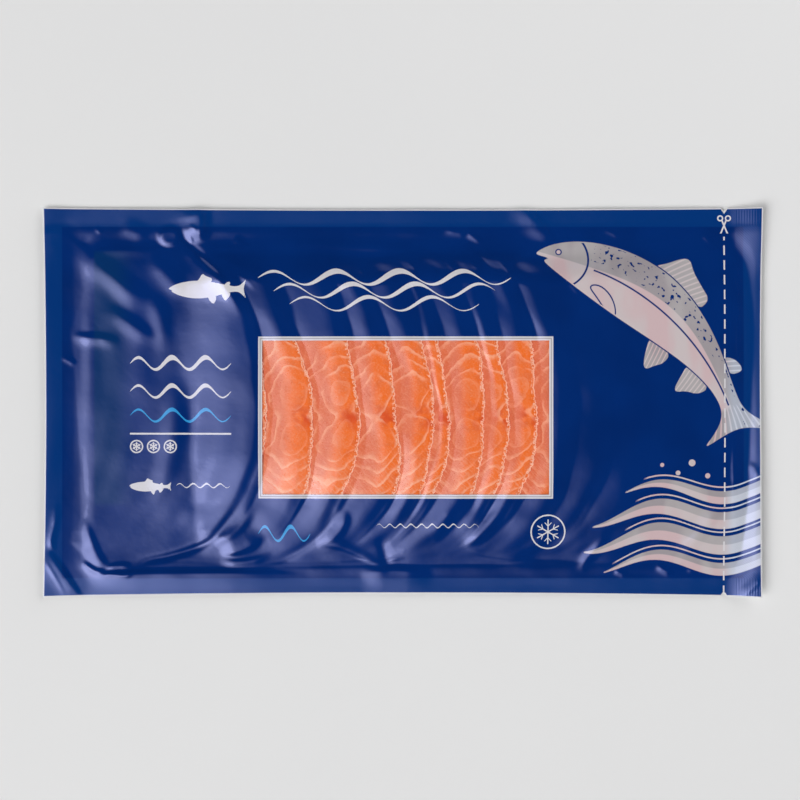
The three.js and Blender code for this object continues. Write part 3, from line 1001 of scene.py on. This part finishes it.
def salmon():
    """Smoked salmon: orange flesh, duller and darker where it is tucked under its neighbour, which is
    painted shade, with pale lines of fat between its flakes, a redder spot on the seam, fine fibres, and a
    pale torn edge that is partly painted highlight. The thin edge and the fat glow faintly, a painted glow
    for the light that passes through them."""
    f = Finish("salmon")
    f.owner.cycles.emission_sampling = "NONE"  # its glow is too faint to light anything else
    x, y, _ = f.place()
    inward, flake, number, shown = f.fields("inward", "flake", "number", "shown")
    where = f.point(x, y, number * 7.0)
    broad = f.noise(where, 0.10, 2.0)
    fine = f.noise(where, 0.9, 4.0, 0.6)
    fibres = f.noise(f.point((x + y) * 0.9, (x - y) * 0.14, number * 3.0), 1.0, 2.0)
    present = f.noise(where, 0.12, 1.0).ramp(0.30, 0.56)
    drift = f.noise(where, 0.34, 2.0)
    grain = f.noise(where, 1.7, 2.0, 0.6)
    shade = f.noise(where, 0.17, 2.0).ramp(0.50, 0.72)

    count = flake + (broad - 0.5) * 0.3 + (drift - 0.5) * 0.34 + (fine - 0.5) * 0.14
    part = count.math("FRACT")
    # Painted shade: the flesh is duller and darker, and its fat lines fainter, where the slice before lies
    # over it.
    tucked = shown.ramp(0.58, 0.30)
    line = part.ramp(0.60, 0.92) * part.ramp(1.0, 0.94) * (0.1 + 0.9 * present) * (0.55 + drift * 0.9)
    line = line * (0.35 + 0.65 * flake.ramp(0.9, 2.1)) * (1 - tucked * 0.2)
    halo = part * part * (0.3 + 0.7 * present)
    low = y.ramp(-15, -42)
    spot = abs(y - WINDOW.y - (inward - 4) * 0.3).under(4, 7) * inward.under(9, 6)
    spot = spot * f.noise(where, 0.2, 1.0).ramp(0.40, 0.58)
    # The pale torn edge is partly the flesh's own colour and partly painted light: the pale beads stand in
    # for glints along the edge, and the pale rim also paints the shaded side wall of the slice light.
    cells = f.value("TexVoronoi", "Distance", {"Vector": f.point(x, y, number), "Scale": 1.0})
    beads_and_glints = cells.under(0.46, 0.22)
    ragged = f.noise(f.point(x * 0.4, y, number), 0.35, 2.0)
    torn = (inward.under(2.0 * ragged + 0.5, 0.5) * beads_and_glints).most(inward.under(0.2 + 0.5 * ragged, 0.3))

    colour = f.layered(
        f.mix(tucked, FLESH.bright, FLESH.tucked),
        (shade * 0.40, FLESH.shade),
        (broad.ramp(0.35, 0.70) * 0.35, FLESH.broad),
        (halo * 0.30, FLESH.halo),
        (fibres.ramp(0.45, 0.75) * (0.12 + 0.40 * low), FLESH.fibres),
        (fine.ramp(0.48, 0.72) * 0.26, FLESH.fine),
        (grain.ramp(0.50, 0.72) * 0.30, FLESH.grain),
        (spot * 0.85, FLESH.spot),
        ((line * 0.54).least(1), FLESH.fat),
        (torn * 0.92, FLESH.torn),
    )
    height = line * 0.3 + fibres * 0.3 + fine * 0.5 + grain * 0.3 + torn * 0.6
    return f.principled({
        "Base Color": colour,
        "Roughness": 0.36 + 0.15 * fine,
        "IOR": 1.38,
        "Normal": f.bump(height, 0.0005, 0.4),
        "Emission Color": f.mix(torn.most(line * 0.3), (0.0, 0.0, 0.0), FLESH.glow),
        "Emission Strength": 1.0,
    })


def white_film():
    """The plain back of the pouch, faintly pebbled."""
    f = Finish("white_film")
    x, y, _ = f.place()
    fine = f.noise(f.point(x, y), 0.3, 3.0)
    colour = f.mix(fine.ramp(0.3, 0.7), (0.80, 0.80, 0.82), (0.86, 0.86, 0.87))
    normal = f.bump(fine, 0.0004, 0.4)
    return f.principled({"Base Color": colour, "Roughness": 0.25 + 0.1 * fine, "Normal": normal})


def floor_finish():
    """A plain pale surface, faintly clouded."""
    f = Finish("floor")
    x, y, _ = f.place()
    colour = f.mix(f.noise(f.point(x, y), 0.004, 3.0), (0.78, 0.78, 0.785), (0.82, 0.82, 0.82))
    return f.principled({"Base Color": colour, "Roughness": 0.55})


# ---------------- the pack

PRINT, CLEAR, WHITE, FISH_FLESH = printed_film(), clear_film(), white_film(), salmon()


def dress(piece, material, slot, *nodes):
    piece.data.materials.append(material)
    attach(piece, "root")
    if nodes:
        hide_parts(*nodes)


dress(film_front(), PRINT, "printed_film", "pouch")
dress(film_window(), CLEAR, "clear_film")
dress(film_back(), WHITE, "printed_film")
for place, node in enumerate(SHOWN):
    dress(slice_of(node, FIRST_SHOWN + place), FISH_FLESH, "salmon", node)

# ---------------- the studio


def floor():
    half, z = 2500.0, -0.05
    points = np.array([(-1, -1, 0), (1, -1, 0), (1, 1, 0), (-1, 1, 0)]) * half + [0, 0, z]
    made = mesh_object("floor", points, np.array([[0, 1, 2, 3]]))
    made.data.materials.append(floor_finish())


def lamp(name, place, size, power):
    """A soft box that faces the middle of the pouch."""
    data = bpy.data.lights.new(name, "AREA")
    data.shape = "RECTANGLE"
    data.size, data.size_y = size
    data.energy = power
    made = added(name, data)
    made.location = place
    made.rotation_euler = (-Vector(place)).to_track_quat("-Z", "Y").to_euler()
    return made


# The light's direction and strength, its brightness by the dot product, and the backdrop's by Z
LIGHT = Sizes(
    towards=(-0.534, -0.402, 0.743),
    strength=5.3,
    stops=(
        (0, 0.002), (0.755, 0.003), (0.80, 0.03), (0.85, 0.11), (0.89, 0.27), (0.92, 0.41), (0.96, 0.60),
        (1, 0.9),
    ),
    low=((0, 0.13), (0.10, 0.12), (0.22, 0)),
)


def sky():
    """One broad soft light from the lower left, which fades evenly all round, and a pale backdrop low
    down. The light's brightness goes by the dot product of a direction with the light's own."""
    f = Finish("studio", "worlds")
    bpy.context.scene.world = f.owner
    where = f.node("TexCoord").outputs["Generated"]
    lights = []
    for towards, stops in ((LIGHT.towards, LIGHT.stops), ((0, 0, 1), LIGHT.low)):
        facing = f.value("VectorMath", "Value", {0: where, 1: towards}, operation="DOT_PRODUCT")
        lights.append(f.node("ValToRGB", {"Fac": facing}, stops=stops).outputs[0])
    both = f.node("VectorMath", dict(enumerate(lights)), operation="ADD").outputs[0]
    shader = f.node("Background", {"Color": both, "Strength": LIGHT.strength}).outputs[0]
    f.node("OutputWorld", {"Surface": shader})


floor()
sky()
lamp("key", (-1.0, -0.75, 1.2), (1.5, 1.1), 6.0)
lamp("fill", (2.1, 1.35, 1.15), (4.0, 2.2), 65.0).visible_glossy = False  # not mirrored in the film

CAMERA = Sizes(lens=100, sensor=36, frame_width=400, aim=np.array([-1.25, 1.25, 3]))
view = bpy.data.cameras.new("camera")
view.lens, view.sensor_width = CAMERA.lens, CAMERA.sensor
camera = added("camera", view)
camera.location = (CAMERA.aim + [0, 0, CAMERA.frame_width * CAMERA.lens / CAMERA.sensor]) * MM
bpy.context.scene.camera = camera
bpy.context.scene.view_settings.view_transform = "Standard"
